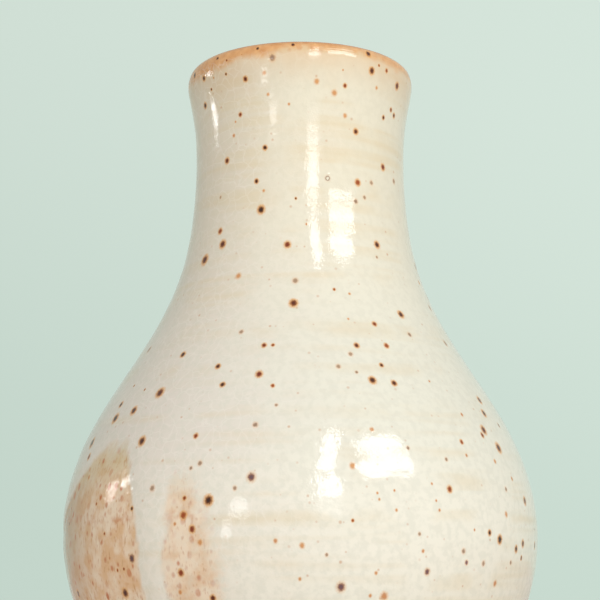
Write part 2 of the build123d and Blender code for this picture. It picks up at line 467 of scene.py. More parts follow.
    # Toasted lip: the glaze drew back further on two sides, above a faint blush in patches
    blush = {0: mottle, 1: blush_wander_mm, 2: axes["Z"]}
    blush = add_node(tree, "ShaderNodeMath", blush, operation="MULTIPLY_ADD")
    blush_from, blush_to = (height + blush_wander_mm / 2 for height in blush_mm)
    lobes = {0: azimuth, 1: toast_lobes, 2: toast_lobes_turn}
    lobes = add_node(tree, "ShaderNodeMath", lobes, operation="MULTIPLY_ADD")
    lobes = add_node(tree, "ShaderNodeMath", {0: lobes}, operation="COSINE")
    fired = axes["Z"]
    for pattern, wander_mm in ((lobes, toast_lobe_mm), (blotch, toast_wander_mm)):
        fired = {0: pattern, 1: wander_mm, 2: fired}
        fired = add_node(tree, "ShaderNodeMath", fired, operation="MULTIPLY_ADD")
    fired_from, fired_to = (height + toast_wander_mm / 2 for height in toast_mm)

    # Crazing: the hair-fine net of cracks is drawn a quarter of a millimetre wide, so that it shows
    net = add_node(tree, "ShaderNodeTexNoise", {"Vector": mm, "Scale": 1 / craze_mm}, out="Color")
    net = {0: net, 1: craze_wander_mm, 2: mm}
    net = add_node(tree, "ShaderNodeVectorMath", net, operation="MULTIPLY_ADD")
    net = {"Vector": net, "Scale": 1 / craze_mm}
    net = add_node(tree, "ShaderNodeTexVoronoi", net, feature="DISTANCE_TO_EDGE")

    # Each mark: what it follows, where it begins and where it is full on that, and its strength there
    marks = {}
    for name, follows, begins, full, strength in (
        # left: greys the cream on the left, partly its own tone and partly painted shade; the crazing shows
        # there as well
        ("left", left, 10.0, 70.0, 1.0),
        # low: painted light that lightens the cream on the lower belly
        ("low", axes["Z"], 88.0, 58.0, 0.55),
        ("warm", axes["Z"], 85.0, 170.0, 0.4),
        ("cloudy", edge, 0.4, 0.66, 0.4),
        ("banded", band, 0.4, 0.75, 1.0),
        ("patchy", mottle, 0.38, 0.62, 0.42),
        ("deep", blotch, 0.36, 0.66, 1.0),
        # painted shade: darkens the buff towards the far left
        ("painted_shade", axes["X"], -50.0, -66.0, 0.85),
        ("olive", axes["Z"], 66.0, 77.0, 1.1),
        ("dashed", dash, 0.56, 0.76, 0.5),
        ("flecked", fleck, 0.0, 0.3, 1.0),
        ("ringed", from_ring[0], 2.0, 0.0, 1.0),
        ("faint", from_ring[1], 2.0, 0.0, 0.9),
        ("thick", thick, 0.5, 1.25, 1.0),
        ("blush", blush, blush_from, blush_to, 0.65),
        ("fired", fired, fired_from, fired_to, 1.0),
        ("crest", axes["Z"], 191.0, 192.7, 0.5),
        ("net", net, 0.07, 0.005, 0.26),
        ("speck", speck, -0.11, 0.07, 1.0),
    ):
        mark = {"Value": follows, "From Min": begins, "From Max": full, "To Max": strength}
        marks[name] = add_node(tree, "ShaderNodeMapRange", mark, **ease)

    # Marks that show only where something else does too
    for name, other in (
        ("banded", marks["patchy"]),
        ("olive", mottle),
        ("flecked", luck["Green"]),
        ("ringed", marks["deep"]),
        ("ringed", rust_ring_share),
        ("faint", marks["patchy"]),
        ("net", marks["left"]),
        ("net", marks["thick"]),
        ("speck", strong),
    ):
        marks[name] = add_node(tree, "ShaderNodeMath", {0: marks[name], 1: other}, operation="MULTIPLY")
    warm = {0: marks["warm"], 1: marks["banded"]}
    marks["warm"] = add_node(tree, "ShaderNodeMath", warm, operation="ADD")

    # Thick cream is lighter low on the belly, which is painted light, greyer on the left, partly its own
    # tone and partly painted shade, and warmer up the neck and along throwing bands. Thin buff has peach
    # and olive clouds, painted shade towards the far left, rusty dashes and flecks, and the rust-stained
    # ring.
    coats = {"cream": paint(cream_hex), "buff": paint(buff_hex)}
    for coat, name, tint_hex in (
        ("cream", "left", cream_grey_and_shade_hex),
        ("cream", "low", cream_belly_painted_light_hex),
        ("cream", "cloudy", cream_cloud_hex),
        ("cream", "warm", cream_warm_hex),
        ("cream", "faint", cream_warm_hex),
        ("buff", "deep", buff_deep_hex),
        ("buff", "painted_shade", buff_painted_shade_hex),
        ("buff", "olive", buff_olive_hex),
        ("buff", "dashed", dash_hex),
        ("buff", "flecked", rust_hex),
        ("buff", "ringed", rust_hex),
    ):
        tint = {"Factor": marks[name], "A": coats[coat], "B": paint(tint_hex)}
        coats[coat] = add_node(tree, "ShaderNodeMix", tint, **blend)
    toast = {0: edge, 1: toast_break, 2: marks["crest"]}
    toast = add_node(tree, "ShaderNodeMath", toast, operation="MULTIPLY_ADD")
    toast = {"Factor": toast, "A": paint(toast_hex), "B": paint(toast_deep_hex)}
    toast = add_node(tree, "ShaderNodeMix", toast, **blend)
    colour = coats["buff"]
    for name, over in (
        ("thick", coats["cream"]),
        ("blush", paint(blush_hex)),
        ("fired", toast),
        ("net", paint(craze_hex)),
        ("speck", paint(speck_hex)),
    ):
        layer = {"Factor": marks[name], "A": colour, "B": over}
        colour = add_node(tree, "ShaderNodeMix", layer, **blend)

    # Relief in millimetres: orange peel, a grain that comes and goes, and throwing rings under the glaze
    roughness = {"Value": marks["thick"], "To Min": 0.09, "To Max": 0.055}
    roughness = add_node(tree, "ShaderNodeMapRange", roughness)
    grainy = {"Value": blotch, "From Min": 0.35, "From Max": 0.65, "To Min": 0.006, "To Max": 0.024}
    grainy = add_node(tree, "ShaderNodeMapRange", grainy, **ease)
    wave = {0: axes["Z"], 1: math.tau / ring_mm, 2: azimuth}
    wave = add_node(tree, "ShaderNodeMath", wave, operation="MULTIPLY_ADD")
    wave = add_node(tree, "ShaderNodeMath", {0: wave}, operation="SINE")
    wave = add_node(tree, "ShaderNodeMath", {0: wave, 1: band}, operation="MULTIPLY")
    relief = 0.0
    for pattern, depth in ((peel, peel_depth_mm), (grain, grainy), (wave, wave_depth_mm)):
        relief = {0: pattern, 1: depth, 2: relief}
        relief = add_node(tree, "ShaderNodeMath", relief, operation="MULTIPLY_ADD")
    add_node(tree, "NodeGroupOutput", {"Colour": colour, "Roughness": roughness, "Relief": relief})
    return tree


rules = glaze_rules()


def fired_glaze(name, cover=None):
    """Glossy feldspar glaze over iron-bearing clay; cover is 0 thin to 1 thick, or varies if not given."""
    material, tree, shader = blank_material(name)
    if cover is None:
        cover = add_node(tree, "ShaderNodeAttribute", out="Fac", attribute_name="cover")
    look = add_node(tree, "ShaderNodeGroup", {"Cover": cover}, node_tree=rules).node.outputs
    bump = {"Height": look["Relief"], "Strength": 1.0, "Distance": 1 / mm_per_metre}
    bump = add_node(tree, "ShaderNodeBump", bump)
    tree.links.new(look["Colour"], shader.inputs["Base Color"])
    tree.links.new(look["Roughness"], shader.inputs["Roughness"])
    tree.links.new(bump, shader.inputs["Normal"])
    shader.inputs["IOR"].default_value = 1.52
    return material


liner_face = hollow_line(liner_coat)
liner_outline = np.vstack([clay_hollow[::-1], liner_face])
liner_material = fired_glaze("cream_liner_glaze", cover=1.0)
liner_glaze = thrown("liner_glaze", liner_outline, liner_material, loop=False)
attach(liner_glaze, "root")
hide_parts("liner_glaze")

# First glaze: a thin first dip over the outside, down to a wiped line above the bare foot.
# The iron in the clay burns through it, so it fires to a streaky toasted buff that shows in the
# windows where the thicker coat over it ran apart.
first_coat = 0.0004
glaze_line_height = 0.012
back_row_step = 4
first_face = above(parallel_line(clay_outside, first_coat), glaze_line_height)
first_back = above(clay_outside, glaze_line_height + first_coat)
first_outline = np.vstack([first_face, first_back[::-back_row_step]])
first_material = fired_glaze("thin_buff_glaze", cover=0.0)
first_glaze = thrown("first_glaze", first_outline, first_material, loop=True)
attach(first_glaze, "root")
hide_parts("first_glaze")

# Lip glaze: the glaze that drew thin over the round lip in the fire, so that the iron below
# toasts it orange all round the mouth. It closes on the outer coats and on the liner.
lip_coat = 0.00048
lip_over = over_lip(first_face, liner_face[::-1], wall_thickness / 2 + lip_coat)
lip_under = np.vstack([clay_hollow[:1], clay_lip[::-1], clay_outside[-1:]])
lip_outline = np.vstack([first_face[-1:], lip_over, liner_face[:1], lip_under])
lip_material = fired_glaze("toasted_lip_glaze", cover=0.0)
lip_glaze = thrown("lip_glaze", lip_outline, lip_material, loop=True)
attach(lip_glaze, "root")
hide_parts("lip_glaze")

# Cream coat: a thicker second glaze poured over the first. In the fire it ran down the belly in
# tongues with heavy rounded tips and pulled apart between them, which leaves tall windows.
# A narrow run lies thick, with crisp edges, and the broad coat thins softly towards a window.
second_coat = 0.00052
second_coat_floor = 0.015
second_coat_top = 0.1908
top_feather = 0.0030
edge_dive = 0.00006
coat_segments = 460
coat_row_spacing = 0.0019
colour_edges = (0.0019, 0.0052)
depth_edges = (0.0052, 0.0066)
narrow_run = 8.0
broad_run = 14.0
fan_depth = 0.024
edge_wander = 0.0014
slow_waves_per_metre = 160
quick_waves_per_metre = 520
quick_wave_share = 0.5
top_softness = 1.8
lip_rows_covered = 6
bare_share = 1e-4
merge_gap = 2e-7

# Each window: azimuth from the front and half width at its top, in degrees, how fast its left and its
# right edge fan out, in degrees per metre down, how bare it is, and the heights of its top and of the
# tip of the run that follows it.
run_windows = (
    (-49.0, 4.0, 1250.0, 330.0, 1.0, 0.0828, 0.0252),
    (-26.3, 3.5, 30.0, 270.0, 0.68, 0.0750, 0.0216),
    (7.0, 5.0, 110.0, 110.0, 0.9, 0.0348, 0.0240),
    (34.0, 6.0, 110.0, 110.0, 1.0, 0.0384, 0.0204),
    (63.0, 7.0, 110.0, 110.0, 0.8, 0.0330, 0.0264),
    (93.0, 6.0, 110.0, 110.0, 1.0, 0.0498, 0.0228),
    (123.0, 6.5, 110.0, 110.0, 0.9, 0.0366, 0.0198),
    (153.0, 7.0, 110.0, 110.0, 1.0, 0.0624, 0.0270),
    (186.0, 6.0, 110.0, 110.0, 0.9, 0.0396, 0.0222),
    (212.0, 6.0, 110.0, 110.0, 1.0, 0.0522, 0.0246),
    (238.0, 6.0, 110.0, 110.0, 0.8, 0.0360, 0.0210),
    (260.0, 4.0, 110.0, 110.0, 0.9, 0.0552, 0.0258),
)


def rise_smoothly(value, low, high):
    """0 below low, 1 above high, and a smooth step between them."""
    share = np.clip((value - low) / (high - low), 0, 1)
    return share**2 * (3 - 2 * share)


def turn_between(azimuth, middle):
    """Shortest way round from a middle azimuth to others, in degrees."""
    return (azimuth - middle + 180) % 360 - 180


def window_reach(number, height):
    """Half widths of a window to its left and to its right at a height, in degrees."""
    _, half_width, left_fan, right_fan, _, top, _ = run_windows[number % len(run_windows)]
    below = np.clip(top - height, 0, fan_depth)
    return half_width + left_fan * below, half_width + right_fan * below


def run_after(number):
    """Middle azimuth and half width, in degrees, of the run that follows a window, at its tip."""
    middle = run_windows[number][0]
    tip = run_windows[number][6]
    following = run_windows[(number + 1) % len(run_windows)][0]
    start = middle + window_reach(number, tip)[1]
    width = turn_between(following, start) - window_reach(number + 1, tip)[0]
    return start + width / 2, width / 2


def coat_share(places, crisp, soft):
    """Share of the coat's full depth at places on the glaze, with crisp and soft edges of given widths."""
    azimuth = np.degrees(np.arctan2(places[:, 0], -places[:, 1]))
    radius = np.hypot(places[:, 0], places[:, 1])
    height = places[:, 2]
    slow = np.array([noise.noise(Vector(place) * slow_waves_per_metre) for place in places])
    quick = np.array([noise.noise(Vector(place) * quick_waves_per_metre) for place in places])
    wander = (slow + quick * quick_wave_share) * edge_wander
    share = rise_smoothly(height + wander, second_coat_floor, second_coat_floor + soft)
    share *= rise_smoothly(second_coat_top - height, 0, top_feather)
    run_widths = np.array([2 * run_after(number)[1] for number in range(len(run_windows))])
    widths = crisp + (soft - crisp) * rise_smoothly(run_widths, narrow_run, broad_run)
    for number, (middle, _, _, _, bare, top, tip) in enumerate(run_windows):
        left_reach, right_reach = window_reach(number, height)
        across = turn_between(azimuth, middle)
        from_left = np.radians(across + left_reach) * radius + wander
        from_right = np.radians(right_reach - across) * radius + wander
        window = rise_smoothly(from_left, -widths[number - 1], widths[number - 1])
        window *= rise_smoothly(from_right, -widths[number], widths[number])
        window *= rise_smoothly(top - height + wander, -soft, top_softness * soft)
        share *= 1 - bare * window
        run_middle, half_run = run_after(number)
        run_side = np.radians(half_run) * radius
        run_across = np.radians(turn_between(azimuth, run_middle)) * radius
        drop = tip + run_side - height
        past_tip = np.hypot(run_across, np.maximum(drop, 0)) - run_side + wander
        near = (drop > 0) & (np.abs(run_across) < 2 * run_side)
        share *= 1 - np.where(near, rise_smoothly(past_tip, -crisp, crisp), 0)
    return share


coat_wall = smooth_line(wall_places, heel_lean, lip_lean, coat_row_spacing)
coat_line = above(parallel_line(coat_wall, first_coat), second_coat_floor)
coat_line = np.vstack([coat_line, lip_over[:lip_rows_covered]])
cream_material = fired_glaze("poured_cream_glaze")
cream_glaze = thrown("white_glaze", coat_line, cream_material, loop=False, segments=coat_segments)


def pour(piece):
    """Gives a turned sheet the depth of the poured coat, with a back, and takes away its bare places."""
    mesh = piece.data
    places = np.zeros(len(mesh.vertices) * 3)
    mesh.vertices.foreach_get("co", places)
    places = places.reshape(-1, 3)
    outward = np.array([vertex.normal for vertex in mesh.vertices])
    if np.sum(outward[:, :2] * places[:, :2]) < 0:
        outward = -outward
    full = coat_share(places, *depth_edges)
    depth = (second_coat + edge_dive) * full - edge_dive
    bare = full < bare_share
    corners = np.array([list(face.vertices) for face in mesh.polygons])
    corners = corners[~bare[corners].all(axis=1)]
    face_side = places + outward * depth[:, None]
    back_side = places - outward * edge_dive
    first = corners[:, 0]
    normal = np.cross(places[corners[:, 1]] - places[first], places[corners[:, 2]] - places[first])
    if np.sum(normal * outward[first]) < 0:
        corners = corners[:, ::-1]
    count = len(places)
    built = bpy.data.meshes.new(piece.name)
    built.from_pydata(
        np.vstack([face_side, back_side]).tolist(),
        [],
        np.vstack([corners, corners[:, ::-1] + count]).tolist(),
    )
    cover = built.attributes.new("cover", "FLOAT", "POINT")
    shares = np.tile(coat_share(places, *colour_edges), 2)
    cover.data.foreach_set("value", shares.astype(np.float32))
    merging = bmesh.new()
    merging.from_mesh(built)
    bmesh.ops.remove_doubles(merging, verts=merging.verts, dist=merge_gap)
    loose = [vertex for vertex in merging.verts if not vertex.link_faces]
    bmesh.ops.delete(merging, geom=loose, context="VERTS")
    merging.to_mesh(built)
    merging.free()
    built.shade_smooth()
    built.materials.append(cream_material)
    piece.data = built


pour(cream_glaze)
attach(cream_glaze, "root")
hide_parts("white_glaze")

# Viewpoint: the camera stands low, level with the belly, close by and tilted up at the neck.
# Its focal length is given in pixels of a square image, in which the spots' places are given too.
image_pixels = 600
focal_pixels = 1430.0
sensor_mm = 36.0
nearest_seen = 0.01
viewpoint_place = (0.0, -0.407, 0.056)
viewpoint_tilt = math.radians(99.72)
camera = placed("viewpoint", bpy.data.cameras.new("viewpoint"))
camera.data.sensor_width = sensor_mm
camera.data.lens = focal_pixels / image_pixels * sensor_mm
camera.data.clip_start = nearest_seen
camera.location = viewpoint_place
camera.rotation_euler = (viewpoint_tilt, 0, 0)
bpy.context.scene.camera = camera

# Iron spots: grains of iron ore in the clay that melted in the fire and bled up through the glaze.
# Each is a dark bead with a soft rusty halo, nearly flush, and some lie veiled under thick glaze.
# Those on the far side and the lower belly are scattered with a fixed seed.

# Each spot that faces the viewpoint: x, y and width, in pixels of the image seen from there
spots_seen = {
    "black": (
        (257.6, 48.4, 3.8), (293.0, 44.7, 4.5), (217.5, 58.8, 4.5), (194.8, 75.2, 6.0),
        (204.0, 78.4, 5.0), (245.4, 79.0, 5.0), (205.3, 105.6, 5.5), (265.0, 147.6, 4.7),
        (227.1, 160.7, 5.5), (371.8, 70.7, 6.5), (393.8, 115.7, 4.5), (383.3, 117.6, 4.0),
        (355.7, 131.6, 5.3), (256.5, 181.3, 4.5), (261.1, 209.6, 7.5), (222.7, 244.2, 7.5),
        (204.9, 259.9, 9.0), (377.0, 244.8, 6.5), (293.5, 303.1, 8.0), (400.8, 314.5, 7.0),
        (356.6, 345.4, 5.5), (183.0, 354.6, 6.0), (381.4, 365.1, 4.5), (217.9, 366.4, 5.5),
        (372.4, 380.2, 7.5), (394.1, 383.2, 6.0), (222.5, 384.6, 5.5), (160.0, 392.8, 9.5),
        (479.4, 400.2, 7.0), (121.1, 404.6, 6.0), (133.8, 410.6, 8.0), (483.8, 413.3, 7.0),
        (115.5, 418.4, 9.0), (483.6, 430.0, 8.0), (141.9, 441.1, 8.5), (92.1, 443.0, 9.0),
        (498.5, 447.9, 9.0), (208.5, 500.2, 9.0), (524.7, 500.9, 7.0), (489.6, 532.8, 5.0),
        (499.7, 539.5, 7.5), (516.1, 549.0, 6.0), (521.2, 558.0, 4.0), (125.4, 593.0, 8.0),
        (78.4, 593.7, 7.0), (213.0, 598.3, 6.0), (295.8, 198.4, 2.5), (211.4, 89.4, 2.6),
        (226.0, 74.1, 2.6), (397.0, 86.0, 6.5), (368.3, 53.7, 6.5), (522.8, 543.6, 6.0),
        (534.6, 545.5, 6.0), (131.9, 508.6, 4.0),
    ),
    "rusty": (
        (379.0, 65.5, 2.6), (386.6, 70.7, 4.0), (226.7, 60.3, 2.6), (345.0, 85.7, 4.0),
        (240.3, 114.5, 4.0), (390.9, 109.9, 4.0), (382.8, 167.2, 6.0), (357.7, 182.5, 6.0),
        (220.2, 231.3, 5.5), (287.4, 244.6, 6.5), (334.2, 289.4, 3.0), (374.4, 324.0, 5.0),
        (264.0, 345.3, 5.0), (272.9, 345.0, 3.5), (386.5, 345.7, 5.5), (259.1, 374.2, 7.0),
        (272.7, 385.7, 4.0), (134.1, 385.8, 2.6), (144.8, 389.6, 2.6), (482.3, 435.2, 5.0),
        (195.8, 435.9, 5.0), (461.6, 441.9, 4.5), (449.6, 489.2, 6.0), (183.4, 515.2, 7.0),
        (192.0, 529.0, 6.5), (180.9, 572.8, 6.5), (89.0, 456.7, 6.0), (96.4, 503.9, 3.0),
        (352.7, 520.5, 3.0), (184.5, 498.2, 4.0), (104.4, 533.7, 3.0), (123.9, 569.0, 3.0),
        (117.6, 570.4, 3.0),
    ),
    "orange": (
        (241.8, 54.5, 2.0), (343.0, 70.0, 2.2), (264.2, 72.9, 4.5), (213.7, 77.8, 2.4),
        (316.7, 81.4, 6.0), (376.5, 87.9, 4.0), (334.3, 92.8, 6.5), (268.2, 94.3, 3.5),
        (289.0, 104.1, 3.0), (345.0, 115.7, 5.0), (235.6, 121.8, 2.6), (233.9, 135.6, 4.0),
        (263.7, 190.7, 3.5), (306.5, 224.0, 3.0), (238.4, 276.0, 7.0), (349.6, 293.8, 3.4),
        (348.3, 318.9, 3.0), (429.3, 381.2, 3.0), (461.8, 414.6, 4.5), (371.8, 429.4, 5.0),
        (466.5, 455.4, 4.0), (494.9, 461.3, 5.0), (89.0, 477.4, 6.0), (511.9, 478.9, 5.0),
        (431.9, 483.7, 3.0), (394.4, 490.5, 3.0), (377.4, 493.0, 3.0), (379.3, 499.3, 3.0),
        (436.2, 500.6, 3.0), (396.5, 510.1, 3.5), (439.6, 510.1, 3.5), (506.2, 514.4, 6.0),
        (174.8, 524.0, 4.0), (474.5, 529.9, 3.0), (275.5, 540.9, 5.0), (200.0, 542.5, 6.0),
        (302.0, 545.5, 6.0), (423.1, 551.1, 4.0), (376.1, 573.0, 4.0), (299.9, 579.0, 4.0),
        (494.9, 583.5, 6.5), (180.2, 592.2, 5.0), (370.2, 595.7, 4.0), (352.5, 465.8, 7.0),
        (384.0, 596.2, 9.0),
    ),
    "veiled": (
        (272.3, 57.6, 7.0), (393.7, 181.4, 5.0), (371.4, 182.9, 4.5), (220.6, 197.3, 3.0),
        (364.4, 197.5, 4.0), (355.7, 201.4, 5.0), (376.8, 257.2, 3.0), (295.2, 280.7, 6.0),
        (428.3, 299.5, 7.0), (241.2, 331.9, 5.0), (409.5, 334.6, 5.0), (445.3, 343.4, 6.5),
        (149.2, 349.7, 7.0), (350.6, 354.0, 5.0), (465.8, 363.1, 7.0), (338.3, 366.4, 5.0),
        (356.6, 372.2, 3.5), (276.3, 405.0, 3.5), (255.3, 424.8, 5.5), (498.6, 425.4, 5.0),
        (446.3, 459.4, 4.0), (200.0, 463.3, 5.0), (190.9, 468.0, 4.0), (234.8, 488.1, 4.5),
        (152.3, 488.3, 6.0), (506.0, 489.2, 4.5), (419.5, 534.0, 3.5), (463.5, 551.1, 5.0),
        (326.7, 554.8, 3.5), (510.7, 562.6, 4.0), (483.4, 563.5, 5.0), (408.0, 447.9, 4.0),
    ),
    "purple": (
        (341.0, 587.0, 8.5), (427.1, 571.8, 6.0), (251.3, 477.0, 8.5), (131.9, 558.4, 8.5),
        (466.5, 562.6, 4.5),
    ),
    "ringed": (
        (327.6, 178.2, 6.0),
    ),
}
spot_looks = {
    "black": {"dark": "#26100A", "pale": "#5E200C", "core": 0.97, "halo": 0.85, "ring": 0.0},
    "rusty": {"dark": "#701C08", "pale": "#9C4416", "core": 0.92, "halo": 0.8, "ring": 0.0},
    "orange": {"dark": "#C87A3A", "pale": "#DE9C5A", "core": 0.6, "halo": 0.5, "ring": 0.0},
    "veiled": {"dark": "#6E5848", "pale": "#A08468", "core": 0.6, "halo": 0.3, "ring": 0.0},
    "purple": {"dark": "#46303A", "pale": "#765860", "core": 0.9, "halo": 0.4, "ring": 0.0},
    "ringed": {"dark": "#4E3A30", "pale": "#7A5240", "core": 0.6, "halo": 0.1, "ring": 1.0},
}
fringe_hex = "#AA642E"
halo_hex = "#E0A868"
pale_spot_share = 0.8
halo_reach = 1.75
bead_shown_share = 0.73
bead_rise_share = 0.012
bead_run = 1.15
bead_sides = 10
bead_rings = 4
dome_height = 2.2
dome_sink = -1.0
unseen_spots = 190
unseen_front_azimuth = 68.0
unseen_front_height = 0.041
unseen_radii = (0.0005, 0.0011)
unseen_least = 0.6
unseen_spread = 0.8
unseen_looks = ("black", "black", "rusty", "orange", "veiled")
spot_seed = 11


def coat_trees():
    """Search trees of the glazes that spots lie on."""
    found = []
    for coat in (cream_glaze, first_glaze, lip_glaze):
        points = [vertex.co.copy() for vertex in coat.data.vertices]
        faces = [list(face.vertices) for face in coat.data.polygons]
        found.append(BVHTree.FromPolygons(points, faces))
    return found


coats = coat_trees()


def nearest_hit(start, way):
    """Place, outward direction and distance where a line first meets the glaze, or None."""
    hits = [tree.ray_cast(start, way) for tree in coats]
    hits = [(distance, place, normal) for place, normal, _, distance in hits if place is not None]
    if not hits:
        return None
    distance, place, normal = min(hits, key=lambda hit: hit[0])
    return place, normal, distance


def seen_spots():
    """Place, direction, core radius and look of each spot that shows from the viewpoint."""
    eye = Vector(camera.location)
    turn = camera.rotation_euler.to_matrix()
    middle = image_pixels / 2
    for look, rows in spots_seen.items():
        for across, down, width in rows:
            way = Vector((across - middle, middle - down, -focal_pixels)).normalized()
            hit = nearest_hit(eye, turn @ way)
            if hit is not None:
                place, normal, distance = hit
                drawn = width * (pale_spot_share if look == "orange" else 1.0)
                yield place, normal, drawn / 2 * distance / focal_pixels, look


def far_spots():
    """The same for the sides that don't show, scattered evenly over the glaze with a fixed seed."""
    draw = np.random.default_rng(spot_seed)
    line = above(first_face, second_coat_floor)
    area = np.cumsum(line[:, 0])
    for _ in range(unseen_spots):
        azimuth = math.radians(draw.uniform(-180, 180))
        radius, height = line[np.searchsorted(area, draw.uniform(0, area[-1]))]
        core = draw.uniform(*unseen_radii) * (unseen_least + unseen_spread * draw.uniform() ** 2)
        look = unseen_looks[draw.integers(len(unseen_looks))]
        if abs(math.degrees(azimuth)) < unseen_front_azimuth and height > unseen_front_height:
            continue
        out = Vector((math.sin(azimuth), -math.cos(azimuth), 0))
        hit = nearest_hit(out * 2 * belly_radius + Vector((0, 0, height)), -out)
        if hit is not None:
            yield hit[0], hit[1], core, look


def spot_tree():
    """Geometry Nodes that lay a flat closed bead on each point and seat it in the glaze below it."""
    inputs = {
        "Spots": "Geometry",
        "Cream Coat": "Object",
        "First Coat": "Object",
        "Lip Coat": "Object",
        "Bead Sides": "Int",
        "Bead Rings": "Int",
        "Rise Share": "Float",
        "Material": "Material",
    }
    tree, given = making_tree("iron_bleeding_through", inputs)
    place = add_node(tree, "GeometryNodeInputPosition")
    axes = add_node(tree, "ShaderNodeSeparateXYZ", {0: place}).node.outputs

    # The bead is a low cone with a few rings, bent to a dome whose outermost ring dives into the glaze
    cone = {
        "Vertices": given["Bead Sides"],
        "Side Segments": given["Bead Rings"],
        "Radius Top": 0.0,
        "Radius Bottom": 1.0,
        "Depth": 1.0,
    }
    bead = add_node(tree, "GeometryNodeMeshCone", cone, fill_type="TRIANGLE_FAN")
    level = add_node(tree, "ShaderNodeVectorMath", {0: place, 1: (1, 1, 0)}, operation="MULTIPLY")
    rim = add_node(tree, "ShaderNodeVectorMath", {0: level}, operation="LENGTH")
    bead = {"Geometry": bead, "Name": "rim", "Value": rim}
    bead = add_node(tree, "GeometryNodeStoreNamedAttribute", bead)
    dome = add_node(tree, "ShaderNodeMath", {0: 2.0, 1: axes["Z"]}, operation="SUBTRACT")
    dome = add_node(tree, "ShaderNodeMath", {0: dome, 1: axes["Z"]}, operation="MULTIPLY")
    dome = {0: dome, 1: dome_height, 2: dome_sink}
    dome = add_node(tree, "ShaderNodeMath", dome, operation="MULTIPLY_ADD")
    bead = {"Geometry": bead, "Name": "lift", "Value": dome}
    bead = add_node(tree, "GeometryNodeStoreNamedAttribute", bead)
    bead = add_node(tree, "GeometryNodeSetPosition", {"Geometry": bead, "Position": level})

    facing = add_node(tree, "GeometryNodeInputNamedAttribute", {"Name": "facing"}, data_type="FLOAT_VECTOR")
    reach = add_node(tree, "GeometryNodeInputNamedAttribute", {"Name": "reach"}, data_type="FLOAT")
    turn = add_node(tree, "FunctionNodeAlignRotationToVector", {"Vector": facing}, axis="Z")
    turn = {"Rotation": turn, "Vector": (0, 0, 1)}
    turn = add_node(tree, "FunctionNodeAlignRotationToVector", turn, axis="Y", pivot_axis="Z")
    spread = {0: (1.0, bead_run, 1.0), "Scale": reach}
    spread = add_node(tree, "ShaderNodeVectorMath", spread, operation="SCALE")
    laid = {"Points": given["Spots"], "Instance": bead, "Rotation": turn, "Scale": spread}
    laid = add_node(tree, "GeometryNodeInstanceOnPoints", laid)
    real = add_node(tree, "GeometryNodeRealizeInstances", {"Geometry": laid})
    below = add_node(tree, "GeometryNodeJoinGeometry")
    for name in ("Cream Coat", "First Coat", "Lip Coat"):
        coat = add_node(tree, "GeometryNodeObjectInfo", {"Object": given[name]}, out="Geometry")
        tree.links.new(coat, below.node.inputs["Geometry"])
    ground = {"Mesh": below, "Value": place}
    ground = add_node(tree, "GeometryNodeSampleNearestSurface", ground, data_type="FLOAT_VECTOR")
    upward = {"Mesh": below, "Value": add_node(tree, "GeometryNodeInputNormal")}
    upward = add_node(tree, "GeometryNodeSampleNearestSurface", upward, data_type="FLOAT_VECTOR")
    cover = add_node(tree, "GeometryNodeInputNamedAttribute", {"Name": "cover"}, data_type="FLOAT")
    cover = {"Mesh": below, "Value": cover}
    cover = add_node(tree, "GeometryNodeSampleNearestSurface", cover, data_type="FLOAT")
    real = {"Geometry": real, "Name": "cover", "Value": cover}
    real = add_node(tree, "GeometryNodeStoreNamedAttribute", real)
    lift = add_node(tree, "GeometryNodeInputNamedAttribute", {"Name": "lift"}, data_type="FLOAT")
    lift = add_node(tree, "ShaderNodeMath", {0: lift, 1: reach}, operation="MULTIPLY")
    lift = add_node(tree, "ShaderNodeMath", {0: lift, 1: given["Rise Share"]}, operation="MULTIPLY")
    raised = add_node(tree, "ShaderNodeVectorMath", {0: upward, "Scale": lift}, operation="SCALE")
    seat = add_node(tree, "ShaderNodeVectorMath", {0: ground, 1: raised}, operation="ADD")
    seated = add_node(tree, "GeometryNodeSetPosition", {"Geometry": real, "Position": seat})
    smooth = add_node(tree, "GeometryNodeSetShadeSmooth", {"Geometry": seated})
    finish = {"Geometry": smooth, "Material": given["Material"]}
    add_node(tree, "NodeGroupOutput", {"Piece": add_node(tree, "GeometryNodeSetMaterial", finish)})
    return tree


